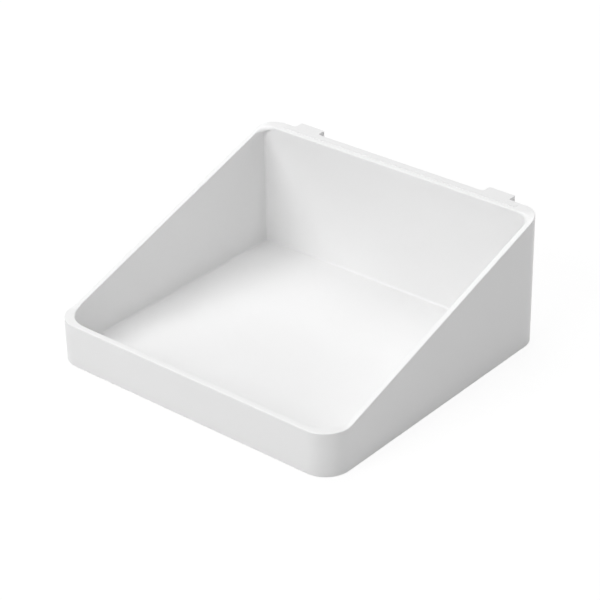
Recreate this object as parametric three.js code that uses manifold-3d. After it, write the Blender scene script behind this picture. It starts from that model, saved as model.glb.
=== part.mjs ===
// Pegboard tray: a white moulded tray with a low front lip, sloping sides and a tall back.
// A plate with two moulded hooks is screwed into a recess behind the back wall.
// Millimetres, +Z up, the open front towards -Y and the board behind the tray at +Y.
import * as THREE from "three";
import { mergeVertices } from "three/addons/utils/BufferGeometryUtils.js";
import Module from "manifold-3d";

// Tray shell
const TRAY_WIDTH = 145;
const TRAY_DEPTH = 136;
const BACK_HEIGHT = 58.5;
const LIP_HEIGHT = 19.4;
const SLOPE_START = 12; // front face to where the side walls begin to rise
const SLOPE_END = 5; // where the rim reaches the back's height to the rear face
const SLOPE_START_RADIUS = 6;
const SLOPE_END_RADIUS = 2;
const WALL = 2.4;
const FLOOR = 1.5;
const FRONT_CORNER_RADIUS = 11.5;
const REAR_CORNER_RADIUS = 9;
const INNER_FRONT_CORNER_RADIUS = 13;
const INNER_REAR_CORNER_RADIUS = 2;
const WEB_RADIUS = 9; // inner rear corners at the rim, where a web rounds them off
const WEB_DEPTH = 3; // from the rim down to where the web has run out
const RIM_ROUND = 0.4;
const BOTTOM_ROUND = 1.2;
const FLOOR_FILLET = 1;

// Hook plate, which fills the recess between the rear corners
const PLATE_THICKNESS = 3.75;
const PLATE_WEB = 2.1; // what is left of the plate behind its pockets and boss seats
const PLATE_CLEARANCE = 0.15;
const SILL_HEIGHT = 4; // the shell's edge that the plate stands on
const RECESS_SIDE_INSET = 11.5; // side face to the recess
const PLATE_SIDE_BORDER = 14;
const PLATE_TOP_BORDER = 10;
const PLATE_BOTTOM_BORDER = 4;
const POCKET_COLUMNS = 3;
const POCKET_ROWS = 2;
const RIB = 1.6;

// Hooks, a whole number of board pitches apart
const BOARD_PITCH = 25;
const HOOK_PAIR_OFFSET = -1.2; // middle of the pair, from the tray's centre line
const HOOK_END_MARGIN = 1.5; // least distance from a hook to the plate's end
const HOOK_WIDTH = 13;
const HOOK_REACH = 4.5;
const TONGUE_THICKNESS = 2.4;
const LIP_THICKNESS = 1.9;
const HOOK_DROP = 7.2; // top of the tongue to the tip of the lip
const HOOK_EDGE_RADIUS = 0.4;
const HOOK_CORNER_RADIUS = 0.8;
const HOOK_ROOT_FILLET = 1;
const TIP_CHAMFER = 0.6;

// Countersunk self-tapping screws and the bosses that they bite into
const SCREW_HEAD_DIAMETER = 5;
const SCREW_HEAD_HEIGHT = 1.3;
const SCREW_SHANK_DIAMETER = 2.5;
const SCREW_LENGTH = 5;
const SCREW_SUNK = 0.2; // head below the plate's rear face
const SCREW_CLEARANCE = 0.15;
const SCREW_SIDE_INSET = 7;
const SCREW_TOP_INSET = 15;
const SCREW_BOTTOM_INSET = 20;
const BOSS_DIAMETER = 7;
const BOSS_CLEARANCE = 0.3;
const PILOT_END_GAP = 0.3;

// Rubber bumpers low on the plate
const BUMPER_DIAMETER = 10;
const BUMPER_THICKNESS = 2;
const BUMPER_SEAT_DEPTH = 0.9;
const BUMPER_CLEARANCE = 0.15;
const BUMPER_ROUND = 0.6;
const BUMPER_SIDE_INSET = 8.5;
const BUMPER_BOTTOM_INSET = 9;

// Fineness of the round stretches
const CORNER_STEPS = 10;
const SIDE_STEPS = 8;
const ROUND_STEPS = 4;
const WEB_STEPS = 3;
const CIRCLE_STEPS = 32;
const ARC_STEPS = 6;
const CUT_MARGIN = 5; // how far a cutting solid runs past what it cuts

// Places that follow from the sizes above
const BACK_THICKNESS = WALL + PLATE_CLEARANCE + PLATE_THICKNESS;
const HALF_WIDTH = TRAY_WIDTH / 2;
const FRONT_Y = -TRAY_DEPTH / 2;
const REAR_Y = TRAY_DEPTH / 2;
const RECESS_HALF = HALF_WIDTH - RECESS_SIDE_INSET;
const RECESS_Y = REAR_Y - PLATE_THICKNESS - PLATE_CLEARANCE;
const PLATE_HALF = RECESS_HALF - PLATE_CLEARANCE;
const PLATE_FRONT_Y = REAR_Y - PLATE_THICKNESS;
const PLATE_BOTTOM = SILL_HEIGHT + PLATE_CLEARANCE;
const WEB_FRONT_Y = REAR_Y - PLATE_WEB;
const BOSS_END_Y = WEB_FRONT_Y - BOSS_CLEARANCE;
const SCREW_HEAD_Y = REAR_Y - SCREW_SUNK;
const SCREW_TIP_Y = SCREW_HEAD_Y - SCREW_LENGTH;
const SCREW_X = PLATE_HALF - SCREW_SIDE_INSET;
const SCREW_UPPER_Z = BACK_HEIGHT - SCREW_TOP_INSET;
const SCREW_LOWER_Z = SILL_HEIGHT + SCREW_BOTTOM_INSET;
const BUMPER_X = PLATE_HALF - BUMPER_SIDE_INSET;
const BUMPER_Z = SILL_HEIGHT + BUMPER_BOTTOM_INSET;
const BUMPER_SEAT_Y = REAR_Y - BUMPER_SEAT_DEPTH;

const SCREWS = [
  { name: "screw_upper_left", x: -SCREW_X, z: SCREW_UPPER_Z },
  { name: "screw_upper_right", x: SCREW_X, z: SCREW_UPPER_Z },
  { name: "screw_lower_left", x: -SCREW_X, z: SCREW_LOWER_Z },
  { name: "screw_lower_right", x: SCREW_X, z: SCREW_LOWER_Z },
];
const BUMPERS = [
  { name: "bumper_left", x: -BUMPER_X, z: BUMPER_Z },
  { name: "bumper_right", x: BUMPER_X, z: BUMPER_Z },
];

const wasm = await Module();
wasm.setup();

// A closed geometry as a solid that can be joined and cut.
function solidOf(geometry) {
  const bare = geometry.clone();
  bare.deleteAttribute("normal");
  bare.deleteAttribute("uv");
  const merged = mergeVertices(bare, 1e-4);
  const vertProperties = new Float32Array(merged.attributes.position.array);
  const triVerts = new Uint32Array(merged.index.array);
  return new wasm.Manifold(new wasm.Mesh({ numProp: 3, vertProperties, triVerts }));
}

// The geometry of a solid, with flat faces.
function geometryOf(solid) {
  const mesh = solid.getMesh();
  const geometry = new THREE.BufferGeometry();
  geometry.setAttribute("position", new THREE.BufferAttribute(mesh.vertProperties, 3));
  geometry.setIndex(new THREE.BufferAttribute(mesh.triVerts, 1));
  const faceted = geometry.toNonIndexed();
  faceted.computeVertexNormals();
  return faceted;
}

function namedMesh(name, solid, material) {
  const mesh = new THREE.Mesh(geometryOf(solid), material);
  mesh.name = name;
  return mesh;
}

// A box between two corners.
function boxBetween(low, high) {
  const size = new THREE.Vector3().subVectors(high, low);
  const middle = new THREE.Vector3().addVectors(low, high).multiplyScalar(0.5);
  const geometry = new THREE.BoxGeometry(size.x, size.y, size.z);
  return solidOf(geometry.translate(middle.x, middle.y, middle.z));
}

// A solid of revolution about a line along Y through (x, z); the profile holds (radius, y) points.
function turnedAlongY(profile, x, z) {
  const points = profile.map(([radius, y]) => new THREE.Vector2(radius, y));
  return solidOf(new THREE.LatheGeometry(points, CIRCLE_STEPS).translate(x, 0, z));
}

// A cylinder along Y between two places.
function rodAlongY(diameter, startY, endY, x, z) {
  const radius = diameter / 2;
  const profile = [
    [0, startY],
    [radius, startY],
    [radius, endY],
    [0, endY],
  ];
  return turnedAlongY(profile, x, z);
}

// A side profile, drawn in (y, z), run along X over a width about a middle.
function extrudedAlongX(profile, width, middleX) {
  const options = { depth: width, bevelEnabled: false, curveSegments: ARC_STEPS };
  const geometry = new THREE.ExtrudeGeometry(profile, options);
  const alongX = new THREE.Matrix4().makeBasis(
    new THREE.Vector3(0, 1, 0),
    new THREE.Vector3(0, 0, 1),
    new THREE.Vector3(1, 0, 0),
  );
  geometry.applyMatrix4(alongX);
  return solidOf(geometry.translate(middleX - width / 2, 0, 0));
}

// Height of the rim at a depth: the lip, a straight slope and the back, with rounded turns.
function rimHeight(y) {
  const startY = FRONT_Y + SLOPE_START;
  const endY = REAR_Y - SLOPE_END;
  const angle = Math.atan2(BACK_HEIGHT - LIP_HEIGHT, endY - startY);
  const turnStart = startY - SLOPE_START_RADIUS * Math.tan(angle / 2);
  const turnEnd = endY + SLOPE_END_RADIUS * Math.tan(angle / 2);
  const intoSlope = y - turnStart;
  const toBack = turnEnd - y;
  if (intoSlope <= 0) return LIP_HEIGHT;
  if (toBack <= 0) return BACK_HEIGHT;
  if (intoSlope < SLOPE_START_RADIUS * Math.sin(angle)) {
    return LIP_HEIGHT + SLOPE_START_RADIUS - Math.sqrt(SLOPE_START_RADIUS ** 2 - intoSlope ** 2);
  }
  if (toBack < SLOPE_END_RADIUS * Math.sin(angle)) {
    return BACK_HEIGHT - SLOPE_END_RADIUS + Math.sqrt(SLOPE_END_RADIUS ** 2 - toBack ** 2);
  }
  return LIP_HEIGHT + Math.tan(angle) * (y - startY);
}

// A rounded rectangle seen from above, counterclockwise, drawn inset from its own edge.
function outline(half, front, rear, frontRadius, rearRadius, inset) {
  const corners = [
    { x: 1, y: rear - rearRadius, radius: rearRadius, turn: 0 },
    { x: -1, y: rear - rearRadius, radius: rearRadius, turn: 1 },
    { x: -1, y: front + frontRadius, radius: frontRadius, turn: 2 },
    { x: 1, y: front + frontRadius, radius: frontRadius, turn: 3 },
  ];
  const points = [];
  corners.forEach((corner, index) => {
    const centreX = corner.x * (half - corner.radius);
    const arc = new THREE.EllipseCurve(
      centreX,
      corner.y,
      corner.radius - inset,
      corner.radius - inset,
      (corner.turn * Math.PI) / 2,
      ((corner.turn + 1) * Math.PI) / 2,
    );
    points.push(...arc.getPoints(CORNER_STEPS));
    const next = corners[(index + 1) % corners.length];
    const alongSide = corner.x === next.x;
    for (let step = 1; alongSide && step < SIDE_STEPS; step++) {
      // Points crowd towards the front, where the slope begins.
      const rising = corner.x > 0 ? step / SIDE_STEPS : 1 - step / SIDE_STEPS;
      const [low, high] = corner.y < next.y ? [corner.y, next.y] : [next.y, corner.y];
      const y = low + (high - low) * rising ** 2;
      points.push(new THREE.Vector2(corner.x * (half - inset), y));
    }
  });
  return points;
}

function outerOutline(inset) {
  return outline(HALF_WIDTH, FRONT_Y, REAR_Y, FRONT_CORNER_RADIUS, REAR_CORNER_RADIUS, inset);
}

function innerOutline(inset, rearRadius) {
  const front = FRONT_Y + WALL;
  const rear = REAR_Y - BACK_THICKNESS;
  return outline(HALF_WIDTH - WALL, front, rear, INNER_FRONT_CORNER_RADIUS, rearRadius, inset);
}

// A closed skin through rings of equally many points, with a flat cap on the first and the last.
function loft(rings) {
  const count = rings[0].length;
  const positions = rings.flat().flatMap((point) => point.toArray());
  const indices = [];
  for (let ring = 0; ring + 1 < rings.length; ring++) {
    for (let step = 0; step < count; step++) {
      const a = ring * count + step;
      const b = ring * count + ((step + 1) % count);
      indices.push(a, b, b + count, a, b + count, a + count);
    }
  }
  const last = rings.length - 1;
  const middles = [rings[0], rings[last]].map((ring) => {
    const sum = ring.reduce((total, point) => total.add(point), new THREE.Vector3());
    return sum.divideScalar(count);
  });
  const bottomMiddle = rings.length * count;
  const topMiddle = bottomMiddle + 1;
  middles.forEach((middle) => positions.push(...middle.toArray()));
  for (let step = 0; step < count; step++) {
    const next = (step + 1) % count;
    indices.push(bottomMiddle, next, step);
    indices.push(topMiddle, last * count + step, last * count + next);
  }
  const geometry = new THREE.BufferGeometry();
  geometry.setAttribute("position", new THREE.Float32BufferAttribute(positions, 3));
  geometry.setIndex(indices);
  return geometry;
}

// The tray's skin: up the outside, over the rim, down the inside and across the floor.
function traySkin() {
  const rings = [];
  const level = (points, height) => {
    rings.push(points.map((point) => new THREE.Vector3(point.x, point.y, height(point.y))));
  };
  const quarter = Array.from({ length: ROUND_STEPS + 1 }, (_, step) => {
    const angle = ((step / ROUND_STEPS) * Math.PI) / 2;
    return { near: 1 - Math.cos(angle), far: 1 - Math.sin(angle) };
  });
  quarter.forEach(({ near, far }) => {
    level(outerOutline(BOTTOM_ROUND * far), () => BOTTOM_ROUND * near);
  });
  quarter.forEach(({ near, far }) => {
    level(outerOutline(RIM_ROUND * near), (y) => rimHeight(y) - RIM_ROUND * far);
  });
  quarter.toReversed().forEach(({ near, far }) => {
    level(innerOutline(-RIM_ROUND * near, WEB_RADIUS), (y) => rimHeight(y) - RIM_ROUND * far);
  });
  for (let step = 1; step <= WEB_STEPS; step++) {
    const down = step / WEB_STEPS;
    const radius = THREE.MathUtils.lerp(WEB_RADIUS, INNER_REAR_CORNER_RADIUS, down);
    level(innerOutline(0, radius), (y) => rimHeight(y) - RIM_ROUND - (WEB_DEPTH - RIM_ROUND) * down);
  }
  quarter.forEach(({ near, far }) => {
    const points = innerOutline(FLOOR_FILLET * near, INNER_REAR_CORNER_RADIUS);
    level(points, () => FLOOR + FLOOR_FILLET * far);
  });
  return solidOf(loft(rings));
}

// The shell: the skin with a recess behind the back wall, and a drilled boss for each screw.
function trayShell() {
  const recess = boxBetween(
    new THREE.Vector3(-RECESS_HALF, RECESS_Y, SILL_HEIGHT),
    new THREE.Vector3(RECESS_HALF, REAR_Y + CUT_MARGIN, BACK_HEIGHT + CUT_MARGIN),
  );
  const pilotDiameter = SCREW_SHANK_DIAMETER + 2 * SCREW_CLEARANCE;
  return SCREWS.reduce((shell, { x, z }) => {
    const boss = rodAlongY(BOSS_DIAMETER, RECESS_Y - WALL / 2, BOSS_END_Y, x, z);
    const pilot = rodAlongY(pilotDiameter, SCREW_TIP_Y - PILOT_END_GAP, REAR_Y, x, z);
    return shell.add(boss).subtract(pilot);
  }, traySkin().subtract(recess));
}

// A hook: a flat tongue level with the rim and a lip that hangs down behind the board.
function hook(middleX) {
  const root = -PLATE_THICKNESS / 2;
  const inner = HOOK_REACH - LIP_THICKNESS;
  const side = new THREE.Shape();
  side.moveTo(root, 0);
  side.lineTo(HOOK_REACH - HOOK_EDGE_RADIUS, 0);
  side.absarc(
    HOOK_REACH - HOOK_EDGE_RADIUS,
    -HOOK_EDGE_RADIUS,
    HOOK_EDGE_RADIUS,
    Math.PI / 2,
    0,
    true,
  );
  side.lineTo(HOOK_REACH, TIP_CHAMFER - HOOK_DROP);
  side.lineTo(HOOK_REACH - TIP_CHAMFER, -HOOK_DROP);
  side.lineTo(inner + TIP_CHAMFER, -HOOK_DROP);
  side.lineTo(inner, TIP_CHAMFER - HOOK_DROP);
  side.lineTo(inner, -TONGUE_THICKNESS);
  side.lineTo(root, -TONGUE_THICKNESS);
  side.closePath();

  const half = HOOK_WIDTH / 2;
  const flare = half + HOOK_ROOT_FILLET;
  const cornerX = half - HOOK_CORNER_RADIUS;
  const cornerY = HOOK_REACH - HOOK_CORNER_RADIUS;
  const plan = new THREE.Shape();
  plan.moveTo(-flare, root);
  plan.lineTo(flare, root);
  plan.lineTo(flare, 0);
  plan.absarc(flare, HOOK_ROOT_FILLET, HOOK_ROOT_FILLET, -Math.PI / 2, -Math.PI, true);
  plan.lineTo(half, cornerY);
  plan.absarc(cornerX, cornerY, HOOK_CORNER_RADIUS, 0, Math.PI / 2, false);
  plan.lineTo(-cornerX, HOOK_REACH);
  plan.absarc(-cornerX, cornerY, HOOK_CORNER_RADIUS, Math.PI / 2, Math.PI, false);
  plan.lineTo(-half, HOOK_ROOT_FILLET);
  plan.absarc(-flare, HOOK_ROOT_FILLET, HOOK_ROOT_FILLET, 0, -Math.PI / 2, true);
  plan.closePath();

  const depth = HOOK_DROP + 2 * CUT_MARGIN;
  const options = { depth, bevelEnabled: false, curveSegments: ARC_STEPS };
  const column = new THREE.ExtrudeGeometry(plan, options);
  column.translate(middleX, 0, -HOOK_DROP - CUT_MARGIN);
  const profile = extrudedAlongX(side, 2 * flare + CUT_MARGIN, middleX);
  return profile.intersect(solidOf(column)).translate([0, REAR_Y, BACK_HEIGHT]);
}

// The plate without its holes: a slab whose upper rear edge is rounded like the rim.
function plateSlab() {
  const side = new THREE.Shape();
  side.moveTo(PLATE_FRONT_Y, PLATE_BOTTOM);
  side.lineTo(REAR_Y, PLATE_BOTTOM);
  side.lineTo(REAR_Y, BACK_HEIGHT - RIM_ROUND);
  side.absarc(REAR_Y - RIM_ROUND, BACK_HEIGHT - RIM_ROUND, RIM_ROUND, 0, Math.PI / 2, false);
  side.lineTo(PLATE_FRONT_Y, BACK_HEIGHT);
  side.closePath();
  return extrudedAlongX(side, 2 * PLATE_HALF, 0);
}

// Shallow pockets in the plate's hidden front face, with ribs between them.
function platePockets() {
  const left = PLATE_SIDE_BORDER - PLATE_HALF;
  const low = PLATE_BOTTOM + PLATE_BOTTOM_BORDER;
  const high = BACK_HEIGHT - PLATE_TOP_BORDER;
  const width = (-2 * left - RIB * (POCKET_COLUMNS - 1)) / POCKET_COLUMNS;
  const height = (high - low - RIB * (POCKET_ROWS - 1)) / POCKET_ROWS;
  const pockets = [];
  for (let column = 0; column < POCKET_COLUMNS; column++) {
    for (let row = 0; row < POCKET_ROWS; row++) {
      const x = left + column * (width + RIB);
      const z = low + row * (height + RIB);
      const nearCorner = new THREE.Vector3(x, PLATE_FRONT_Y - CUT_MARGIN, z);
      const farCorner = new THREE.Vector3(x + width, WEB_FRONT_Y, z + height);
      pockets.push(boxBetween(nearCorner, farCorner));
    }
  }
  return pockets;
}

// What each screw needs of the plate: a countersink, a clearance hole and a seat for its boss.
function screwCuts({ x, z }) {
  const headRadius = SCREW_HEAD_DIAMETER / 2 + SCREW_CLEARANCE;
  const holeRadius = SCREW_SHANK_DIAMETER / 2 + SCREW_CLEARANCE;
  const countersink = turnedAlongY(
    [
      [0, WEB_FRONT_Y - CUT_MARGIN],
      [holeRadius, WEB_FRONT_Y - CUT_MARGIN],
      [holeRadius, SCREW_HEAD_Y - SCREW_HEAD_HEIGHT],
      [headRadius, SCREW_HEAD_Y],
      [headRadius, REAR_Y + CUT_MARGIN],
      [0, REAR_Y + CUT_MARGIN],
    ],
    x,
    z,
  );
  const seatDiameter = BOSS_DIAMETER + 2 * BOSS_CLEARANCE;
  const seat = rodAlongY(seatDiameter, PLATE_FRONT_Y - CUT_MARGIN, WEB_FRONT_Y, x, z);
  return [countersink, seat];
}

// Hooks stand as many whole board pitches apart as the plate has room for.
function hookPlaces() {
  const room = 2 * (PLATE_HALF - HOOK_END_MARGIN - Math.abs(HOOK_PAIR_OFFSET)) - HOOK_WIDTH;
  const spacing = BOARD_PITCH * Math.floor(room / BOARD_PITCH);
  return [-1, 1].map((side) => HOOK_PAIR_OFFSET + (side * spacing) / 2);
}

function hookPlate() {
  const seatDiameter = BUMPER_DIAMETER + 2 * BUMPER_CLEARANCE;
  const bumperSeats = BUMPERS.map(({ x, z }) =>
    rodAlongY(seatDiameter, BUMPER_SEAT_Y, REAR_Y + CUT_MARGIN, x, z),
  );
  const cuts = [...platePockets(), ...SCREWS.flatMap(screwCuts), ...bumperSeats];
  const plate = cuts.reduce((body, cut) => body.subtract(cut), plateSlab());
  return hookPlaces().reduce((body, x) => body.add(hook(x)), plate);
}

function screw({ x, z }) {
  const shankRadius = SCREW_SHANK_DIAMETER / 2;
  const profile = [
    [0, SCREW_TIP_Y],
    [shankRadius / 2, SCREW_TIP_Y],
    [shankRadius, SCREW_TIP_Y + shankRadius],
    [shankRadius, SCREW_HEAD_Y - SCREW_HEAD_HEIGHT],
    [SCREW_HEAD_DIAMETER / 2, SCREW_HEAD_Y],
    [0, SCREW_HEAD_Y],
  ];
  return turnedAlongY(profile, x, z);
}

// A round pad with a flat rear face and a rounded edge.
function bumper({ x, z }) {
  const radius = BUMPER_DIAMETER / 2;
  const seatY = BUMPER_SEAT_Y + BUMPER_CLEARANCE;
  const faceY = seatY + BUMPER_THICKNESS;
  const edge = new THREE.EllipseCurve(
    radius - BUMPER_ROUND,
    faceY - BUMPER_ROUND,
    BUMPER_ROUND,
    BUMPER_ROUND,
    0,
    Math.PI / 2,
  );
  const rounded = edge.getPoints(ROUND_STEPS).map((point) => point.toArray());
  return turnedAlongY([[0, seatY], [radius, seatY], ...rounded, [0, faceY]], x, z);
}

const whiteSatin = new THREE.MeshStandardMaterial({ color: 0xf3f3f1, roughness: 0.5, metalness: 0 });
const zincSteel = new THREE.MeshStandardMaterial({ color: 0xb9bbbc, roughness: 0.35, metalness: 1 });
const clearRubber = new THREE.MeshStandardMaterial({ color: 0xd9dad7, roughness: 0.7, metalness: 0 });

const tray = new THREE.Group();
tray.add(namedMesh("tray_shell", trayShell(), whiteSatin));
tray.add(namedMesh("hook_plate", hookPlate(), whiteSatin.clone()));
SCREWS.forEach((place) => tray.add(namedMesh(place.name, screw(place), zincSteel.clone())));
BUMPERS.forEach((place) => tray.add(namedMesh(place.name, bumper(place), clearRubber.clone())));

// The origin is under the middle of the whole object, hooks included.
tray.position.y = -HOOK_REACH / 2;

export default tray;
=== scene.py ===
"""Looks of a white moulded pegboard tray: shell, hook plate, screws and bumpers in a plain studio."""

import logging
import math
from collections.abc import Callable, Sequence
from dataclasses import dataclass
from enum import Enum

import bmesh
import bpy
from mathutils import Matrix, Vector


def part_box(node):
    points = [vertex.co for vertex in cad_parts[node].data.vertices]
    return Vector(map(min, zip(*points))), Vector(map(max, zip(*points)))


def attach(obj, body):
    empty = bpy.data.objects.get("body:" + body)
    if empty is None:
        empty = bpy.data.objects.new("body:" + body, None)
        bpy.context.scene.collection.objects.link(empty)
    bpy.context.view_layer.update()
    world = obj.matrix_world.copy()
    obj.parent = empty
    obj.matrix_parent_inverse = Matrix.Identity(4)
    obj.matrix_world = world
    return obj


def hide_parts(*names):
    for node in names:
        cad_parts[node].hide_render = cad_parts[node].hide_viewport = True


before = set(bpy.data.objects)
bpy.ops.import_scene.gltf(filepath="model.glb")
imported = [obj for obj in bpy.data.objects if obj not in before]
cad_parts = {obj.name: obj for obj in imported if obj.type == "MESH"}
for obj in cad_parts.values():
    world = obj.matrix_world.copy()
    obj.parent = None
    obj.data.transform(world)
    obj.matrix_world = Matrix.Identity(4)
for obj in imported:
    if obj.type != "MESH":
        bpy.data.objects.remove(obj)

LOG = logging.getLogger("pegboard_tray")
MM = 0.001
BODY = "root"
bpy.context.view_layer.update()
IMAGE_SIDE = 600  # pixels
WHITE = (1.0, 1.0, 1.0, 1.0)
MERGE_DISTANCE = 0.001 * MM
NEAR = 0.02 * MM  # places closer than this count as the same
CUT_MARGIN = 5 * MM  # how far a cutting shape runs past what it cuts
FACING = 0.9  # least cosine between a face's normal and the way that it counts as facing
UPRIGHT = 0.5  # largest Z in the normal of a face that counts as upright


class Part(Enum):
    """What a selection in edit mode picks."""

    EDGES = "edges"
    FACES = "faces"


class Blend(Enum):
    """How a piece is combined with another shape."""

    CUT = "DIFFERENCE"
    JOIN = "UNION"


class Side(Enum):
    """The two sides of the tray, with the sign of their X."""

    LEFT = -1
    RIGHT = 1


def linear_colour(hex_code: str) -> tuple[float, float, float, float]:
    """Turns an sRGB hex colour into linear RGBA.

    Args:
        hex_code: Six hex digits after a hash sign.

    Returns:
        The linear red, green and blue with an alpha of one.
    """
    channels = [int(hex_code[i : i + 2], 16) / 255 for i in (1, 3, 5)]
    linear = [c / 12.92 if c <= 0.04045 else ((c + 0.055) / 1.055) ** 2.4 for c in channels]
    return (*linear, 1.0)


def activate(piece: bpy.types.Object) -> None:
    """Makes a piece the active object and the only selected one.

    Args:
        piece: The object.
    """
    bpy.ops.object.select_all(action="DESELECT")
    bpy.context.view_layer.objects.active = piece
    piece.select_set(True)


def open_for_edit(piece: bpy.types.Object) -> None:
    """Opens a piece in edit mode with nothing selected.

    Args:
        piece: The mesh object to open.
    """
    activate(piece)
    bpy.ops.object.mode_set(mode="EDIT")
    bpy.ops.mesh.select_all(action="DESELECT")


def close_edit() -> None:
    """Goes back to object mode."""
    bpy.ops.object.mode_set(mode="OBJECT")


def select(piece: bpy.types.Object, part: Part, test: Callable[..., bool]) -> int:
    """Selects what passes a test in the piece that is open in edit mode.

    Args:
        piece: The mesh object in edit mode.
        part: Whether edges or faces are picked.
        test: Takes one element and says whether it is wanted.

    Returns:
        How many elements are selected.
    """
    modes = (False, part is Part.EDGES, part is Part.FACES)
    bpy.context.tool_settings.mesh_select_mode = modes
    bpy.ops.mesh.select_all(action="DESELECT")
    mesh = bmesh.from_edit_mesh(piece.data)
    wanted = [item for item in getattr(mesh, part.value) if test(item)]
    for item in wanted:
        item.select_set(True)
    mesh.select_flush_mode()
    bmesh.update_edit_mesh(piece.data)
    return len(wanted)


def extrude(offset: Sequence[float]) -> None:
    """Pulls the selected faces out by an offset, on the piece that is open in edit mode."""
    bpy.ops.mesh.extrude_region_move(TRANSFORM_OT_translate={"value": offset})


def bevel_edges(piece: bpy.types.Object, test: Callable[..., bool], radius: float, steps: int) -> None:
    """Rounds the edges that pass a test, on the piece that is open in edit mode.

    Args:
        piece: The mesh object in edit mode.
        test: Takes one edge and says whether it is rounded.
        radius: Radius of the round, in metres.
        steps: Number of facets across the round.
    """
    if select(piece, Part.EDGES, test):
        bpy.ops.mesh.bevel(offset=radius, segments=steps, affect="EDGES", clamp_overlap=False)


def at_depth(y: float) -> Callable[[bmesh.types.BMEdge], bool]:
    """Makes a test that is true for the edges that lie at a depth."""
    return lambda edge: all(abs(vert.co.y - y) < NEAR for vert in edge.verts)


def settle(name: str) -> bpy.types.Object:
    """Names the primitive that was just added and moves its place into its mesh.

    Args:
        name: Name of the new object.

    Returns:
        The new mesh object at the origin.
    """
    bpy.ops.object.transform_apply(location=True, rotation=True, scale=True)
    piece = bpy.context.active_object
    piece.name = name
    return piece


def add_block(name: str, low: Vector, high: Vector) -> bpy.types.Object:
    """Adds a cube primitive stretched between two corners.

    Args:
        name: Name of the new object.
        low: Lowest corner, in metres.
        high: Highest corner, in metres.

    Returns:
        The new mesh object at the origin.
    """
    bpy.ops.object.select_all(action="DESELECT")
    bpy.ops.mesh.primitive_cube_add(size=1, location=(low + high) / 2, scale=high - low)
    return settle(name)


def apply_modifier(piece: bpy.types.Object, kind: str, **settings: object) -> None:
    """Adds a modifier to a piece and applies it.

    Args:
        piece: The mesh object.
        kind: Blender's name for the kind of modifier.
        settings: The modifier's properties.
    """
    activate(piece)
    modifier = piece.modifiers.new(kind.title(), kind)
    for key, value in settings.items():
        setattr(modifier, key, value)
    bpy.ops.object.modifier_apply(modifier=modifier.name)


def combine(piece: bpy.types.Object, blend: Blend, shapes: Sequence[bpy.types.Object]) -> None:
    """Cuts shapes out of a piece or melts them into it, and removes them.

    Args:
        piece: The mesh object that changes.
        blend: Whether the shapes are taken away or added.
        shapes: Closed shapes.
    """
    for shape in shapes:
        apply_modifier(piece, "BOOLEAN", operation=blend.value, solver="EXACT", object=shape)
        bpy.data.objects.remove(shape)


def smooth(piece: bpy.types.Object, sharp_degrees: float) -> None:
    """Shades a piece smooth up to an angle and keeps its flat faces flat.

    Args:
        piece: The mesh object.
        sharp_degrees: Edges that turn more than this stay sharp.
    """
    activate(piece)
    bpy.ops.object.shade_smooth_by_angle(angle=math.radians(sharp_degrees))
    apply_modifier(piece, "WEIGHTED_NORMAL", keep_sharp=True, weight=100)


def quarter_round(radius: float, steps: int) -> list[tuple[float, float]]:
    """Points of a quarter round, as distances left to its two faces.

    Args:
        radius: Radius of the round, in metres.
        steps: Number of facets.

    Returns:
        Pairs that start at (0, radius) and end at (radius, 0).
    """
    angles = [math.pi / 2 * step / steps for step in range(steps + 1)]
    return [(radius * (1 - math.cos(a)), radius * (1 - math.sin(a))) for a in angles]


def empty_tree(owner: bpy.types.Material | bpy.types.World) -> bpy.types.NodeTree:
    """Turns on the nodes of a material or world, and clears them.

    Args:
        owner: The material or world.

    Returns:
        Its node tree, without nodes.
    """
    owner.use_nodes = True
    owner.node_tree.nodes.clear()
    return owner.node_tree


def add_node(
    tree: bpy.types.NodeTree, kind: str, inputs: dict[str | int, object], **settings: object
) -> bpy.types.Node:
    """Adds a node with its settings, and sets or links its inputs.

    Args:
        tree: The node tree.
        kind: Blender's type name of the node.
        inputs: Input name or number to a constant, or to the socket that feeds it.
        settings: The node's own properties.

    Returns:
        The new node.
    """
    node = tree.nodes.new(kind)
    for key, value in settings.items():
        setattr(node, key, value)
    for name, value in inputs.items():
        if isinstance(value, bpy.types.NodeSocket):
            tree.links.new(value, node.inputs[name])
        else:
            node.inputs[name].default_value = value
    return node


def add_noise(tree: bpy.types.NodeTree, size: float, detail: float) -> bpy.types.NodeSocket:
    """Adds a noise pattern in the piece's own coordinates.

    Args:
        tree: The material's node tree.
        size: Size of the pattern's spots, in metres.
        detail: How many finer layers it has.

    Returns:
        The pattern's value, from 0 to 1.
    """
    place = add_node(tree, "ShaderNodeTexCoord", {}).outputs["Object"]
    pattern = {"Vector": place, "Scale": 1 / size, "Detail": detail}
    return add_node(tree, "ShaderNodeTexNoise", pattern).outputs["Fac"]


def add_shades(
    tree: bpy.types.NodeTree, share: bpy.types.NodeSocket, shades: tuple[str, str]
) -> bpy.types.NodeSocket:
    """Adds a ramp between two shades.

    Args:
        tree: The material's node tree.
        share: Where between the shades a point is, from 0 to 1.
        shades: The two sRGB hex colours.

    Returns:
        The colour.
    """
    ramp = add_node(tree, "ShaderNodeValToRGB", {"Fac": share})
    for element, shade in zip(ramp.color_ramp.elements, shades):
        element.color = linear_colour(shade)
    return ramp.outputs["Color"]


def add_roughness(
    tree: bpy.types.NodeTree, share: bpy.types.NodeSocket, middle: float, spread: float
) -> bpy.types.NodeSocket:
    """Adds a roughness that follows a pattern.

    Args:
        tree: The material's node tree.
        share: The pattern's value, from 0 to 1.
        middle: The roughness half way.
        spread: How far it goes down and up from there.

    Returns:
        The roughness.
    """
    limits = {"Value": share, "To Min": middle - spread, "To Max": middle + spread}
    return add_node(tree, "ShaderNodeMapRange", limits).outputs["Result"]


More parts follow.
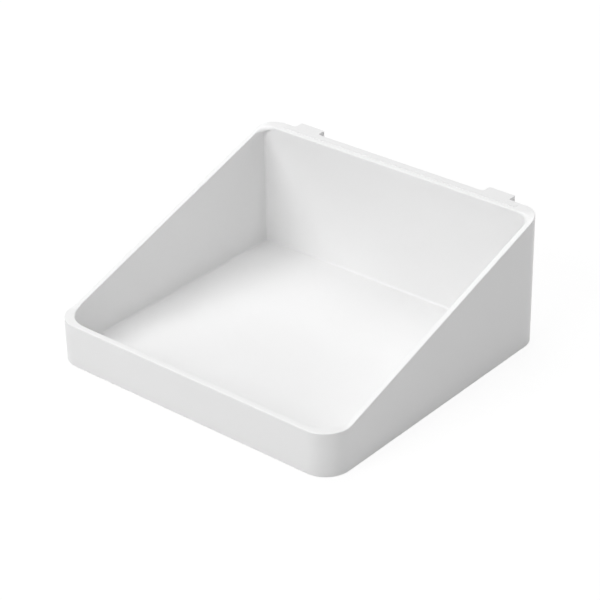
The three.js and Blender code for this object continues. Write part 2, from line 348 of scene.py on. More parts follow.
def add_bump(
    tree: bpy.types.NodeTree, share: bpy.types.NodeSocket, height: float
) -> bpy.types.NodeSocket:
    """Adds a bump that follows a pattern.

    Args:
        tree: The material's node tree.
        share: The pattern's value, from 0 to 1.
        height: How far the pattern stands out, in metres.

    Returns:
        The normal.
    """
    relief = {"Height": share, "Distance": height, "Strength": 1.0}
    return add_node(tree, "ShaderNodeBump", relief).outputs["Normal"]


def add_surface(tree: bpy.types.NodeTree, inputs: dict[str | int, object]) -> None:
    """Adds the shader of an opaque material and its output.

    Args:
        tree: The material's node tree.
        inputs: The shader's inputs.
    """
    shader = add_node(tree, "ShaderNodeBsdfPrincipled", inputs)
    add_node(tree, "ShaderNodeOutputMaterial", {"Surface": shader.outputs["BSDF"]})


@dataclass(frozen=True)
class MouldedPlastic:
    """Injection-moulded ABS with a fine spark-eroded grain: satin, evenly coloured, soft highlights."""

    name: str
    colour: str
    flow_colour: str
    roughness: float
    roughness_spread: float = 0.03
    ior: float = 1.53
    grain: float = 0.9 * MM  # the real grain is near 0.1 mm; drawn coarser so that it shows
    grain_detail: float = 3.0
    grain_height: float = 0.004 * MM
    flow_size: float = 45 * MM  # slow change of shade along the melt's flow
    flow_detail: float = 2.0

    def material(self) -> bpy.types.Material:
        """Builds the node material.

        Returns:
            The new material.
        """
        made = bpy.data.materials.new(self.name)
        tree = empty_tree(made)
        flow = add_noise(tree, self.flow_size, self.flow_detail)
        grain = add_noise(tree, self.grain, self.grain_detail)
        inputs = {
            "Base Color": add_shades(tree, flow, (self.colour, self.flow_colour)),
            "Roughness": add_roughness(tree, grain, self.roughness, self.roughness_spread),
            "Normal": add_bump(tree, grain, self.grain_height),
            "IOR": self.ior,
        }
        add_surface(tree, inputs)
        return made


SHELL_WHITE = MouldedPlastic("satin_white_abs_shell", "#f4f4f4", "#f2f2f2", roughness=0.32)
PLATE_WHITE = MouldedPlastic("satin_white_abs_plate", "#f1f1f1", "#efefef", roughness=0.38)


@dataclass(frozen=True)
class ZincPlating:
    """Bright zinc on steel: a pale bluish grey metal with faint turning marks."""

    name: str = "bright_zinc_plated_steel"
    colour: str = "#c3c6c9"
    roughness: float = 0.28
    roughness_spread: float = 0.08
    mark: float = 0.35 * MM
    mark_detail: float = 2.0

    def material(self) -> bpy.types.Material:
        """Builds the node material.

        Returns:
            The new material.
        """
        made = bpy.data.materials.new(self.name)
        tree = empty_tree(made)
        marks = add_noise(tree, self.mark, self.mark_detail)
        inputs = {
            "Base Color": linear_colour(self.colour),
            "Metallic": 1.0,
            "Roughness": add_roughness(tree, marks, self.roughness, self.roughness_spread),
        }
        add_surface(tree, inputs)
        return made


@dataclass(frozen=True)
class PadRubber:
    """Pale thermoplastic rubber: matt, slightly grey, with a fine dusty grain."""

    name: str = "pale_grey_tpe_rubber"
    colour: str = "#d6d7d3"
    dust_colour: str = "#dcdcd8"
    roughness: float = 0.68
    grain: float = 0.5 * MM
    grain_detail: float = 4.0
    grain_height: float = 0.01 * MM

    def material(self) -> bpy.types.Material:
        """Builds the node material.

        Returns:
            The new material.
        """
        made = bpy.data.materials.new(self.name)
        tree = empty_tree(made)
        grain = add_noise(tree, self.grain, self.grain_detail)
        inputs = {
            "Base Color": add_shades(tree, grain, (self.colour, self.dust_colour)),
            "Roughness": self.roughness,
            "Normal": add_bump(tree, grain, self.grain_height),
        }
        add_surface(tree, inputs)
        return made


def finish_piece(piece: bpy.types.Object, node: str, material: bpy.types.Material) -> None:
    """Gives a piece its material, hangs it on the tray's body and hides the CAD node that it stands for.

    Args:
        piece: The finished mesh object.
        node: Name of the CAD node that it replaces.
        material: The finish.
    """
    piece.data.materials.clear()
    piece.data.materials.append(material)
    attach(piece, BODY)
    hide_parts(node)
    LOG.info("%s stands for %s with %d faces", piece.name, node, len(piece.data.polygons))


@dataclass
class Outline:
    """A rounded rectangle seen from above."""

    half: float
    front: float
    rear: float
    front_radius: float
    rear_radius: float
    corner_steps: int = 24
    side_steps: int = 40

    def points(self, inset: float) -> list[tuple[float, float]]:
        """Walks round the outline counterclockwise from the right rear corner.

        Args:
            inset: How far inside the outline to walk, in metres.

        Returns:
            Equally many (x, y) points whatever the inset, closer together near the corners.
        """
        corners = [
            (1, self.rear - self.rear_radius, self.rear_radius),
            (-1, self.rear - self.rear_radius, self.rear_radius),
            (-1, self.front + self.front_radius, self.front_radius),
            (1, self.front + self.front_radius, self.front_radius),
        ]
        steps = range(1, self.side_steps)
        shares = [(1 - math.cos(math.pi * step / self.side_steps)) / 2 for step in steps]
        walked: list[tuple[float, float]] = []
        for turn, (sign, y, radius) in enumerate(corners):
            x = sign * (self.half - radius)
            reach = radius - inset
            for step in range(self.corner_steps + 1):
                angle = math.pi / 2 * (turn + step / self.corner_steps)
                walked.append((x + reach * math.cos(angle), y + reach * math.sin(angle)))
            outward = Vector((math.cos(angle), math.sin(angle)))
            next_sign, next_y, next_radius = corners[(turn + 1) % len(corners)]
            next_middle = Vector((next_sign * (self.half - next_radius), next_y))
            start = Vector((x, y)) + outward * reach
            end = next_middle + outward * (next_radius - inset)
            walked += [tuple(start.lerp(end, share)) for share in shares]
        return walked


@dataclass
class TrayShell:
    """The moulded tray: floor, low front lip, sloping sides and inner back wall."""

    node: str = "tray_shell"
    slot: str = "shell"
    lip_height: float = 19.4 * MM
    slope_start: float = 12 * MM  # front face to where the side walls begin to rise
    slope_end: float = 5 * MM  # where the rim reaches the back's height to the rear face
    slope_start_radius: float = 6 * MM
    slope_end_radius: float = 2 * MM
    wall: float = 2.4 * MM
    front_wall: float = 2.8 * MM
    floor: float = 1.5 * MM
    back_thickness: float = 6.3 * MM
    front_radius: float = 11.5 * MM
    rear_radius: float = 9.5 * MM
    inner_front_radius: float = 13 * MM
    inner_rear_radius: float = 1 * MM
    web_radius: float = 6 * MM  # inner rear corners at the rim, where a web rounds them off
    web_depth: float = 2.2 * MM  # from the rim down to where the web has run out
    web_round_width: float = 1.7 * MM  # the rim's inner round in the middle of a web
    web_round_depth: float = 1.3 * MM
    rim_round: float = 0.4 * MM
    bottom_round: float = 0.6 * MM
    floor_fillet: float = 1 * MM
    sill_height: float = 4 * MM
    recess_inset: float = 11.5 * MM
    gate_radius: float = 4 * MM
    gate_depth: float = 0.4 * MM
    gate_sides: int = 48
    round_steps: int = 6
    web_steps: int = 10
    sharp_degrees: float = 40

    def __post_init__(self) -> None:
        """Reads the shell's box from the frame."""
        self.low, self.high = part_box(self.node)

    def rim_height(self, y: float) -> float:
        """Height of the rim at a depth: lip, straight slope and back, with rounded turns.

        Args:
            y: Depth in the frame, in metres.

        Returns:
            The height in metres.
        """
        start = self.low.y + self.slope_start
        end = self.high.y - self.slope_end
        angle = math.atan2(self.high.z - self.lip_height, end - start)
        into_slope = y - (start - self.slope_start_radius * math.tan(angle / 2))
        to_back = end + self.slope_end_radius * math.tan(angle / 2) - y
        if into_slope <= 0:
            return self.lip_height
        if to_back <= 0:
            return self.high.z
        if into_slope < self.slope_start_radius * math.sin(angle):
            radius = self.slope_start_radius
            return self.lip_height + radius - math.sqrt(radius**2 - into_slope**2)
        if to_back < self.slope_end_radius * math.sin(angle):
            radius = self.slope_end_radius
            return self.high.z - radius + math.sqrt(radius**2 - to_back**2)
        return self.lip_height + math.tan(angle) * (y - start)

    def inside(self, rear_radius: float) -> Outline:
        """The outline of the tray's inside.

        Args:
            rear_radius: Radius of its rear corners, in metres.

        Returns:
            The outline.
        """
        half = (self.high.x - self.low.x) / 2 - self.wall
        front = self.low.y + self.front_wall
        rear = self.high.y - self.back_thickness
        return Outline(half, front, rear, self.inner_front_radius, rear_radius)

    def rings(self) -> list[list[Vector]]:
        """Rings of the tray's skin: up the outside, over the rim and down to the floor.

        Returns:
            Rings of equally many points.
        """
        half = (self.high.x - self.low.x) / 2
        outer = Outline(half, self.low.y, self.high.y, self.front_radius, self.rear_radius)
        floor_outline = self.inside(self.inner_rear_radius)
        rings: list[list[Vector]] = []

        def level(points: list[tuple[float, float]], height: float) -> None:
            """Adds a level ring."""
            rings.append([Vector((x, y, height)) for x, y in points])

        def below_rim(points: list[tuple[float, float]], down: float) -> None:
            """Adds a ring that follows the rim at a distance below it."""
            rings.append([Vector((x, y, self.rim_height(y) - down)) for x, y in points])

        for up, inset in quarter_round(self.bottom_round, self.round_steps):
            level(outer.points(inset), self.low.z + up)
        for inset, down in quarter_round(self.rim_round, self.round_steps):
            below_rim(outer.points(inset), down)
        rings += self.inner_round(self.inside(self.web_radius))
        for radius, down in self.web():
            below_rim(self.inside(radius).points(0), down)
        for inset, up in quarter_round(self.floor_fillet, self.round_steps):
            level(floor_outline.points(inset), self.low.z + self.floor + up)
        return rings

    def inner_round(self, inner: Outline) -> list[list[Vector]]:
        """Rings of the rim's inner round, which grows towards the middle of each web.

        Args:
            inner: The inside's outline at the rim.

        Returns:
            Rings from the rim's top down to the wall.
        """
        inside = [Vector(point) for point in inner.points(0)]
        outwards = [(Vector(point) - start) / MM for point, start in zip(inner.points(-MM), inside)]
        rings = []
        for near, far in reversed(quarter_round(1, self.round_steps)):
            ring = []
            for point, outward in zip(inside, outwards):
                # 1 in the middle of a rear corner, 0 from its ends on
                corner = max(0, outward.y) * abs(outward.x) * 2
                wide = self.rim_round + (self.web_round_width - self.rim_round) * corner
                deep = self.rim_round + (self.web_round_depth - self.rim_round) * corner
                moved = point + outward * wide * near
                ring.append(Vector((moved.x, moved.y, self.rim_height(moved.y) - deep * far)))
            rings.append(ring)
        return rings

    def web(self) -> list[tuple[float, float]]:
        """How the web under the rim's rear corners runs out.

        Returns:
            Corner radius and depth below the rim, step by step.
        """
        narrowing = self.web_radius - self.inner_rear_radius
        start = self.web_round_depth
        shares = [step / self.web_steps for step in range(1, self.web_steps + 1)]
        return [
            (self.web_radius - narrowing * share, start + (self.web_depth - start) * share)
            for share in shares
        ]

    def wrap(self) -> bpy.types.Object:
        """Wraps a flat grid round the rings and closes the bottom and the floor.

        Returns:
            The closed skin as a mesh object.
        """
        rings = self.rings()
        across, around = len(rings) - 1, len(rings[0])
        bpy.ops.object.select_all(action="DESELECT")
        bpy.ops.mesh.primitive_grid_add(x_subdivisions=across, y_subdivisions=around, size=1)
        piece = bpy.context.active_object
        piece.name = "shell_moulding"
        for vert in piece.data.vertices:
            ring = round((vert.co.x + 0.5) * across)
            step = round((vert.co.y + 0.5) * around) % around
            vert.co = rings[ring][step]
        open_for_edit(piece)
        bpy.ops.mesh.select_all(action="SELECT")
        bpy.ops.mesh.remove_doubles(threshold=MERGE_DISTANCE)
        for end in (rings[0], rings[-1]):
            height = end[0].z
            select(
                piece,
                Part.EDGES,
                lambda edge: edge.is_boundary and abs(edge.verts[0].co.z - height) < NEAR,
            )
            bpy.ops.mesh.edge_face_add()
        bpy.ops.mesh.select_all(action="SELECT")
        bpy.ops.mesh.normals_make_consistent(inside=False)
        close_edit()
        return piece

    def recess(self) -> bpy.types.Object:
        """The block that is cut from behind the back wall for the hook plate.

        Returns:
            The cutting block.
        """
        half = (self.high.x - self.low.x) / 2 - self.recess_inset
        depth = self.back_thickness - self.wall
        low = Vector((-half, self.high.y - depth, self.low.z + self.sill_height))
        high = Vector((half, self.high.y + CUT_MARGIN, self.high.z + CUT_MARGIN))
        return add_block("recess", low, high)

    def gate_mark(self) -> bpy.types.Object:
        """The shallow round dimple under the floor where the melt entered the mould.

        Returns:
            The cutting shape.
        """
        bpy.ops.object.select_all(action="DESELECT")
        bpy.ops.mesh.primitive_cylinder_add(
            vertices=self.gate_sides, radius=self.gate_radius, depth=2 * self.gate_depth
        )
        return settle("gate_mark")

    def build(self, screws: Sequence["PlateScrew"]) -> bpy.types.Object:
        """Models the shell.

        Args:
            screws: The screws that go into bosses behind the back wall.

        Returns:
            The finished mesh object.
        """
        piece = self.wrap()
        combine(piece, Blend.CUT, [self.recess(), self.gate_mark()])
        combine(piece, Blend.JOIN, [screw.boss() for screw in screws])
        combine(piece, Blend.CUT, [screw.pilot() for screw in screws])
        smooth(piece, self.sharp_degrees)
        return piece


@dataclass
class HookPlate:
    """The plate behind the back wall, with two hooks on its upper edge."""

    node: str = "hook_plate"
    slot: str = "plate"
    hook_width: float = 13 * MM
    hook_spacing: float = 100 * MM
    pair_offset: float = -1.2 * MM
    tongue: float = 2.4 * MM
    lip: float = 1.9 * MM
    drop: float = 7.2 * MM  # top of the tongue to the tip of the lip
    thickness: float = 3.75 * MM
    tight_fit: float = 0.148 * MM  # how much of the clearance in front and at the ends closes up
    top_round: float = 0.3 * MM
    root_fillet: float = 1 * MM
    corner_radius: float = 0.8 * MM
    tip_chamfer: float = 0.5 * MM
    edge_break: float = 0.25 * MM
    web: float = 2.1 * MM  # what is left of the plate behind its pockets
    pocket_columns: int = 3
    pocket_rows: int = 2
    pocket_rib: float = 1.6 * MM
    pocket_borders: tuple[float, float, float] = (14 * MM, 4 * MM, 10 * MM)  # sides, bottom and top
    round_steps: int = 5
    small_steps: int = 2
    sharp_degrees: float = 40

    def __post_init__(self) -> None:
        """Reads the plate's box from the frame."""
        self.low, self.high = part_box(self.node)
        self.rear = self.low.y + self.thickness
        self.under = self.high.z - self.tongue
        self.tip = self.high.z - self.drop

    def hook_middles(self) -> list[float]:
        """The X of each hook's middle, left first."""
        return [self.pair_offset + side.value * self.hook_spacing / 2 for side in Side]

    def hook_sides(self) -> list[float]:
        """The X of every hook's two sides."""
        return [x + side.value * self.hook_width / 2 for x in self.hook_middles() for side in Side]

    def slab(self) -> bpy.types.Object:
        """Adds the plate's block and scores it where the hooks grow out.

        Returns:
            The block, left open in edit mode.
        """
        tight = Vector((self.tight_fit, 0, 0))
        low = self.low - tight - Vector((0, self.tight_fit, 0))
        high = Vector((self.high.x, self.rear, self.high.z)) + tight
        piece = add_block("plate_moulding", low, high)
        open_for_edit(piece)
        bpy.ops.mesh.select_all(action="SELECT")
        bpy.ops.mesh.bisect(plane_co=(0, 0, self.under), plane_no=(0, 0, 1))
        for x in self.hook_sides():
            select(piece, Part.FACES, lambda face: face.calc_center_bounds().z > self.under)
            bpy.ops.mesh.bisect(plane_co=(x, 0, 0), plane_no=(1, 0, 0))
        return piece

    def pull(self, piece: bpy.types.Object, place: Vector, normal: Vector, length: float) -> None:
        """Extrudes the face at a place along its normal.

        Args:
            piece: The plate in edit mode.
            place: The middle of the face.
            normal: The way that the face looks.
            length: How far it is pulled.
        """

        def is_there(face: bmesh.types.BMFace) -> bool:
            """Says whether a face lies at the place and looks the right way."""
            distance = (face.calc_center_bounds() - place).length
            return distance < NEAR and face.normal.dot(normal) > FACING

        select(piece, Part.FACES, is_there)
        extrude(normal * length)

    def draw_hook(self, piece: bpy.types.Object, middle: float) -> None:
        """Pulls one hook out of the plate: its tongue backwards, then its lip down.

        Args:
            piece: The plate in edit mode.
            middle: The X of the hook's middle.
        """
        back, down = Vector((0, 1, 0)), Vector((0, 0, -1))
        gap = self.high.y - self.rear - self.lip
        face = Vector((middle, self.rear, (self.under + self.high.z) / 2))
        self.pull(piece, face, back, gap)
        self.pull(piece, face + back * gap, back, self.lip)
        under_lip = Vector((middle, self.high.y - self.lip / 2, self.under))
        self.pull(piece, under_lip, down, self.under - self.tip)

    def is_upright(self, edge: bmesh.types.BMEdge, y: float) -> bool:
        """Says whether an edge runs up a hook's side at a depth.

        Args:
            edge: Any edge of the plate.
            y: The depth.

        Returns:
            True for the hooks' own upright edges there.
        """
        ends = [vert.co for vert in edge.verts]
        at_side = all(min(abs(end.x - x) for x in self.hook_sides()) < NEAR for end in ends)
        return at_side and at_depth(y)(edge) and abs(ends[0].z - ends[1].z) > NEAR

    def is_corner(self, edge: bmesh.types.BMEdge) -> bool:
        """Says whether an edge is an upright outer corner of a hook."""
        return self.is_upright(edge, self.high.y)

    def is_root(self, edge: bmesh.types.BMEdge) -> bool:
        """Says whether an edge is where the side of a hook's tongue leaves the plate."""
        lowest = min(vert.co.z for vert in edge.verts)
        return lowest > self.under - NEAR and self.is_upright(edge, self.rear)

    def is_tip(self, edge: bmesh.types.BMEdge) -> bool:
        """Says whether an edge lies along the front or rear of a hook's tip.

        Args:
            edge: Any edge of the plate.

        Returns:
            True for the long edges of a hook's lowest face.
        """
        ends = [vert.co for vert in edge.verts]
        at_tip = all(abs(end.z - self.tip) < NEAR for end in ends)
        return at_tip and abs(ends[0].y - ends[1].y) < NEAR

    def is_top_outline(self, edge: bmesh.types.BMEdge) -> bool:
        """Says whether an edge of the top runs along the rear outline, hooks included.

        Args:
            edge: Any edge of the plate.

        Returns:
            True where the top meets an upright face behind the plate's front.
        """
        ends = [vert.co for vert in edge.verts]
        on_top = all(end.z > self.high.z - NEAR for end in ends)
        upright = any(abs(face.normal.z) < UPRIGHT for face in edge.link_faces)
        at_end = all(abs(end.x) > self.high.x - NEAR for end in ends)
        return on_top and upright and min(end.y for end in ends) > self.low.y + NEAR and not at_end

    def is_rear_outline(self, edge: bmesh.types.BMEdge) -> bool:
        """Says whether an edge lies along the ends or the bottom of the plate's rear face.

        Args:
            edge: Any edge of the plate.

        Returns:
            True for the rear face's outline without its top.
        """
        ends = [vert.co for vert in edge.verts]
        at_end = all(abs(end.x) > self.high.x - NEAR for end in ends)
        at_bottom = all(end.z < self.low.z + NEAR for end in ends)
        return at_depth(self.rear)(edge) and (at_end or at_bottom)

    def pockets(self) -> list[bpy.types.Object]:
        """The shallow pockets in the plate's hidden front face.

        Returns:
            The cutting blocks.
        """
        side, bottom, top = self.pocket_borders
        room = self.high - self.low - Vector((2 * side, 0, bottom + top))
        width = (room.x + self.pocket_rib) / self.pocket_columns - self.pocket_rib
        height = (room.z + self.pocket_rib) / self.pocket_rows - self.pocket_rib
        blocks = []
        for column in range(self.pocket_columns):
            for row in range(self.pocket_rows):
                x = self.low.x + side + column * (width + self.pocket_rib)
                z = self.low.z + bottom + row * (height + self.pocket_rib)
                low = Vector((x, self.low.y - CUT_MARGIN, z))
                high = Vector((x + width, self.rear - self.web, z + height))
                blocks.append(add_block("pocket", low, high))
        return blocks

    def build(self, cutters: Sequence[bpy.types.Object]) -> bpy.types.Object:
        """Models the plate and its hooks.

        Args:
            cutters: Countersinks, boss seats and pad seats to take out of the plate.

        Returns:
            The finished mesh object.
        """
        piece = self.slab()
        for middle in self.hook_middles():
            self.draw_hook(piece, middle)
        bevel_edges(piece, self.is_tip, self.tip_chamfer, self.small_steps)
        bevel_edges(piece, self.is_corner, self.corner_radius, self.round_steps)
        bevel_edges(piece, self.is_root, self.root_fillet, self.round_steps)
        bevel_edges(piece, self.is_top_outline, self.top_round, self.round_steps)
        bevel_edges(piece, self.is_rear_outline, self.edge_break, self.small_steps)
        close_edit()
        combine(piece, Blend.CUT, [*cutters, *self.pockets()])
        smooth(piece, self.sharp_degrees)
        return piece


@dataclass
class TurnedPiece:
    """A round piece with its axis along Y."""

    node: str
    sides: int
    sharp_degrees: float = 35

    def __post_init__(self) -> None:
        """Reads the piece's box from the frame."""
        self.low, self.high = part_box(self.node)
        self.middle = (self.low + self.high) / 2
        self.radius = (self.high.x - self.low.x) / 2

    def at(self, y: float) -> Vector:
        """The point of the piece's axis at a depth."""
        return Vector((self.middle.x, y, self.middle.z))

    def rod(self, name: str, radii: tuple[float, float], start: float, end: float) -> bpy.types.Object:
        """Adds a cone primitive on the piece's axis.

        Args:
            name: Name of the new object.
            radii: Radius at the start and at the end, in metres.
            start: Depth of its front end.
            end: Depth of its rear end.

        Returns:
            The new mesh object at the origin.
        """
        bpy.ops.object.select_all(action="DESELECT")
        bpy.ops.mesh.primitive_cone_add(
            vertices=self.sides,
            radius1=radii[0],
            radius2=radii[1],
            depth=end - start,
            location=self.at((start + end) / 2),
            rotation=(-math.pi / 2, 0, 0),
        )
        return settle(name)


@dataclass
class PlateScrew(TurnedPiece):
    """A countersunk self-tapping screw with a cross recess."""

    sides: int = 48
    slot: str = "screw"
    head_height: float = 1.3 * MM
    shank_radius: float = 1.25 * MM
    tip_share: float = 0.5  # width of the tip's flat end as a share of the shank's
    clearance: float = 0.15 * MM
    boss_radius: float = 3.5 * MM
    boss_clearance: float = 0.3 * MM
    boss_reach: float = 2.2 * MM  # from the boss's end back to the head's face
    boss_length: float = 2.5 * MM
    edge_round: float = 0.12 * MM
    round_steps: int = 3
    recess_depth: float = 0.9 * MM
    recess_width: float = 0.75 * MM
    recess_length: float = 2.7 * MM

    def __post_init__(self) -> None:
        """Reads the screw's box from the frame."""
        super().__post_init__()
        self.neck = self.high.y - self.head_height
        self.boss_end = self.high.y - self.boss_reach
        self.hole_radius = self.shank_radius + self.clearance

    def boss(self) -> bpy.types.Object:
        """The boss behind the back wall that this screw bites into."""
        radii = (self.boss_radius, self.boss_radius)
        return self.rod("boss", radii, self.boss_end - self.boss_length, self.boss_end)

    def pilot(self) -> bpy.types.Object:
        """The hole in the boss."""
        radii = (self.hole_radius, self.hole_radius)
        return self.rod("pilot", radii, self.low.y - self.boss_clearance, self.boss_end + CUT_MARGIN)

    def plate_cutter(self) -> bpy.types.Object:
        """The countersink, hole and boss seat that the plate needs for this screw, as one turned shape.

        Returns:
            The cutting shape.
        """
        widen = (self.boss_radius + self.boss_clearance) / self.hole_radius
        seat_end = self.boss_end + self.boss_clearance
        radii = (self.hole_radius, self.radius + self.clearance)
        piece = self.rod("screw_seat", radii, self.neck, self.high.y)
        open_for_edit(piece)
        select(piece, Part.FACES, lambda face: face.normal.y > FACING)
        extrude((0, CUT_MARGIN, 0))
        select(piece, Part.FACES, lambda face: face.normal.y < -FACING)
        extrude((0, seat_end - self.neck, 0))
        extrude((0, 0, 0))
        bpy.ops.transform.resize(value=(widen, 1, widen), center_override=self.at(seat_end))
        extrude((0, self.low.y - seat_end, 0))
        close_edit()
        return piece

    def build(self) -> bpy.types.Object:
        """Models the screw.

        Returns:
            The finished mesh object.
        """
        name = self.node.replace("screw", "countersunk_screw")
        piece = self.rod(name, (self.shank_radius, self.radius), self.neck, self.high.y)
        tip_start = self.low.y + self.shank_radius
        tip_scale = (self.tip_share, self.tip_share, self.tip_share)
        open_for_edit(piece)
        select(piece, Part.FACES, lambda face: face.normal.y < -FACING)
        extrude((0, tip_start - self.neck, 0))
        extrude((0, self.low.y - tip_start, 0))
        bpy.ops.transform.resize(value=tip_scale, center_override=self.at(self.low.y))
        bevel_edges(piece, at_depth(self.high.y), self.edge_round, self.round_steps)
        close_edit()
        combine(piece, Blend.CUT, self.cross())
        smooth(piece, self.sharp_degrees)
        return piece

    def cross(self) -> list[bpy.types.Object]:
        """The two arms of the cross recess.

        Returns:
            The cutting blocks.
        """
        half_width, half_length = self.recess_width / 2, self.recess_length / 2
        floor, beyond = self.high.y - self.recess_depth, self.high.y + CUT_MARGIN
        arms = []
        for x, z in ((half_width, half_length), (half_length, half_width)):
            reach = Vector((x, 0, z))
            arms.append(add_block("cross_arm", self.at(floor) - reach, self.at(beyond) + reach))
        return arms


@dataclass
class BumperPad(TurnedPiece):
    """A round rubber pad low on the plate."""

    sides: int = 64
    slot: str = "bumper"
    clearance: float = 0.15 * MM
    edge_round: float = 0.6 * MM
    round_steps: int = 5

    def seat(self) -> bpy.types.Object:
        """The round seat that the plate needs for this pad.

        Returns:
            The cutting shape.
        """
        radius = self.radius + self.clearance
        start, end = self.low.y - self.clearance, self.high.y + CUT_MARGIN
        return self.rod("pad_seat", (radius, radius), start, end)

    def build(self) -> bpy.types.Object:
        """Models the pad.

        Returns:
            The finished mesh object.
        """
        name = self.node.replace("bumper", "bumper_pad")
        piece = self.rod(name, (self.radius, self.radius), self.low.y, self.high.y)
        open_for_edit(piece)
        bevel_edges(piece, at_depth(self.high.y), self.edge_round, self.round_steps)
        close_edit()
        smooth(piece, self.sharp_degrees)
        return piece


def direction(azimuth: float, elevation: float) -> Vector:
    """The unit vector from the tray towards a viewer or lamp.

    Args:
        azimuth: Degrees round from the front, positive to the right.
        elevation: Degrees above the horizon.

    Returns:
        The unit vector.
    """
    turn, rise = math.radians(azimuth), math.radians(elevation)
    return Vector((math.sin(turn) * math.cos(rise), -math.cos(turn) * math.cos(rise), math.sin(rise)))


@dataclass(frozen=True)
class Lamp:
    """A round soft lamp that faces the tray: angles in degrees, sizes in metres, power in watts."""

    name: str
    azimuth: float
    elevation: float
    distance: float
    width: float
    power: float

    def build(self, target: Vector) -> None:
        """Hangs the lamp.

        Args:
            target: The point that the lamp faces.
        """
        data = bpy.data.lights.new(self.name, "AREA")
        data.shape = "DISK"
        data.size = self.width
        data.energy = self.power
        lamp = bpy.data.objects.new(self.name, data)
        bpy.context.scene.collection.objects.link(lamp)
        towards = direction(self.azimuth, self.elevation)
        lamp.location = target + towards * self.distance
        lamp.rotation_euler = towards.to_track_quat("Z", "Y").to_euler()


LAMPS = (
    Lamp("top_softbox", -135, 70, distance=1.2, width=1.2, power=8.8),
    Lamp("front_key", 0, 45, distance=1.3, width=0.4, power=3.8),
    Lamp("front_left_key", -15, 33, distance=1.3, width=0.4, power=2.6),
    Lamp("front_left_fill", -25, 20, distance=1.3, width=0.4, power=1.85),
    Lamp("left_key", -60, 55, distance=1.3, width=0.5, power=2.05),
    Lamp("rear_fill", 120, 15, distance=1.3, width=0.8, power=3.5),
    Lamp("right_fill", 45, 15, distance=1.3, width=0.8, power=1.85),
)


def add_seen(tree: bpy.types.NodeTree) -> bpy.types.NodeSocket:
    """Adds a switch for what the eye sees, straight on, mirrored or through a clear piece.

    Args:
        tree: The node tree of a material or the world.

    Returns:
        1 where the eye looks, and 0 where light bounces.
    """
    rays = add_node(tree, "ShaderNodeLightPath", {})
    seen = rays.outputs["Is Camera Ray"]
    for kind in ("Is Glossy Ray", "Is Transmission Ray"):
        either = {0: seen, 1: rays.outputs[kind]}
        seen = add_node(tree, "ShaderNodeMath", either, operation="MAXIMUM").outputs["Value"]
    return seen


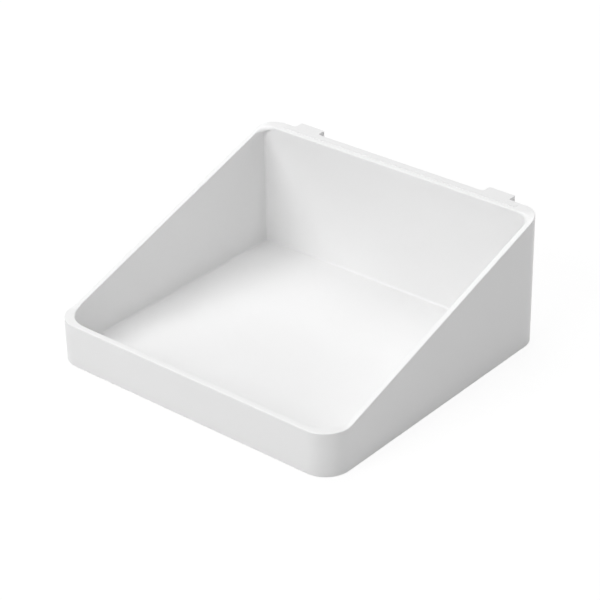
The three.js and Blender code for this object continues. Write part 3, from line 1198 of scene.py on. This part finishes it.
@dataclass
class Studio:
    """A pale floor, soft lamps, a white surround and the camera."""

    floor_side: float = 6.0
    floor_gap: float = 0.1 * MM
    floor_colour: str = "#dadada"
    floor_glow: float = 0.8  # share of the near floor's look that is its own white
    glow_strength: float = 1.12
    glow_reach: tuple[float, float] = (0.3, 1.2)  # metres from the tray over which that share grows to 1
    camera_azimuth: float = 40.561
    camera_elevation: float = 29.752
    camera_roll: float = -1.097
    camera_distance: float = 839.47 * MM
    camera_target: tuple[float, float, float] = (1.301 * MM, -2.25 * MM, 23.059 * MM)
    focal_pixels: float = 2071.6
    sensor: float = 36.0

    def build(self) -> None:
        """Builds the whole studio."""
        bpy.context.scene.view_settings.view_transform = "Standard"
        self.add_floor()
        self.add_world()
        for lamp in LAMPS:
            lamp.build(Vector(self.camera_target))
        self.add_camera()

    def add_floor(self) -> None:
        """Lays a floor that looks white from above, with the tray's soft shadow, and clear from below."""
        bpy.ops.object.select_all(action="DESELECT")
        bpy.ops.mesh.primitive_plane_add(size=self.floor_side, location=(0, 0, -self.floor_gap))
        floor = bpy.context.active_object
        floor.name = "studio_floor"
        made = bpy.data.materials.new("pale_studio_floor")
        tree = empty_tree(made)
        paint = add_node(tree, "ShaderNodeBsdfDiffuse", {"Color": linear_colour(self.floor_colour)})
        glow = add_node(tree, "ShaderNodeEmission", {"Strength": self.glow_strength})
        clear = add_node(tree, "ShaderNodeBsdfTransparent", {})
        below = add_node(tree, "ShaderNodeNewGeometry", {}).outputs["Backfacing"]
        above = {0: self.glow_share(tree), 1: paint.outputs["BSDF"], 2: glow.outputs["Emission"]}
        white = add_node(tree, "ShaderNodeMixShader", above).outputs["Shader"]
        two_sides = {0: below, 1: white, 2: clear.outputs["BSDF"]}
        one_sided = add_node(tree, "ShaderNodeMixShader", two_sides).outputs["Shader"]
        add_node(tree, "ShaderNodeOutputMaterial", {"Surface": one_sided})
        floor.data.materials.append(made)

    def glow_share(self, tree: bpy.types.NodeTree) -> bpy.types.NodeSocket:
        """Adds how much of the floor's look is its own white, which grows away from the tray.

        Args:
            tree: The floor's node tree.

        Returns:
            The share to the eye, and 0 for bouncing light.
        """
        place = add_node(tree, "ShaderNodeTexCoord", {}).outputs["Object"]
        away = add_node(tree, "ShaderNodeVectorMath", {0: place}, operation="LENGTH").outputs["Value"]
        near, far = self.glow_reach
        limits = {"From Min": near, "From Max": far, "To Min": self.floor_glow, "To Max": 1.0}
        share = add_node(tree, "ShaderNodeMapRange", {"Value": away, **limits}).outputs["Result"]
        factors = {0: add_seen(tree), 1: share}
        return add_node(tree, "ShaderNodeMath", factors, operation="MULTIPLY").outputs["Value"]

    def add_world(self) -> None:
        """Sets a surround that looks white, also in reflections, and lights nothing else."""
        world = bpy.data.worlds.new("white_surround")
        bpy.context.scene.world = world
        tree = empty_tree(world)
        sky = add_node(tree, "ShaderNodeBackground", {"Color": WHITE, "Strength": add_seen(tree)})
        add_node(tree, "ShaderNodeOutputWorld", {"Surface": sky.outputs["Background"]})

    def add_camera(self) -> None:
        """Stands the camera where the photograph was taken from."""
        data = bpy.data.cameras.new("camera")
        data.sensor_width = self.sensor
        data.lens = self.focal_pixels / IMAGE_SIDE * self.sensor
        camera = bpy.data.objects.new("camera", data)
        bpy.context.scene.collection.objects.link(camera)
        back = direction(self.camera_azimuth, self.camera_elevation)
        right = Vector((0, 0, 1)).cross(back).normalized()
        up = back.cross(right)
        roll = math.radians(self.camera_roll)
        rolled_right = right * math.cos(roll) + up * math.sin(roll)
        rolled_up = up * math.cos(roll) - right * math.sin(roll)
        turn = Matrix((rolled_right, rolled_up, back)).transposed().to_4x4()
        place = Vector(self.camera_target) + back * self.camera_distance
        camera.matrix_world = Matrix.Translation(place) @ turn
        bpy.context.scene.camera = camera


def main() -> None:
    """Builds every piece and the studio."""
    logging.basicConfig(level=logging.INFO, format="%(name)s: %(message)s")
    names = sorted(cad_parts)
    screws = [PlateScrew(name) for name in names if name.startswith("screw")]
    pads = [BumperPad(name) for name in names if name.startswith("bumper")]
    shell = TrayShell()
    finish_piece(shell.build(screws), shell.node, SHELL_WHITE.material())
    plate = HookPlate()
    cutters = [screw.plate_cutter() for screw in screws] + [pad.seat() for pad in pads]
    finish_piece(plate.build(cutters), plate.node, PLATE_WHITE.material())
    zinc, rubber = ZincPlating().material(), PadRubber().material()
    for screw in screws:
        finish_piece(screw.build(), screw.node, zinc)
    for pad in pads:
        finish_piece(pad.build(), pad.node, rubber)
    Studio().build()


if __name__ == "__main__":
    main()
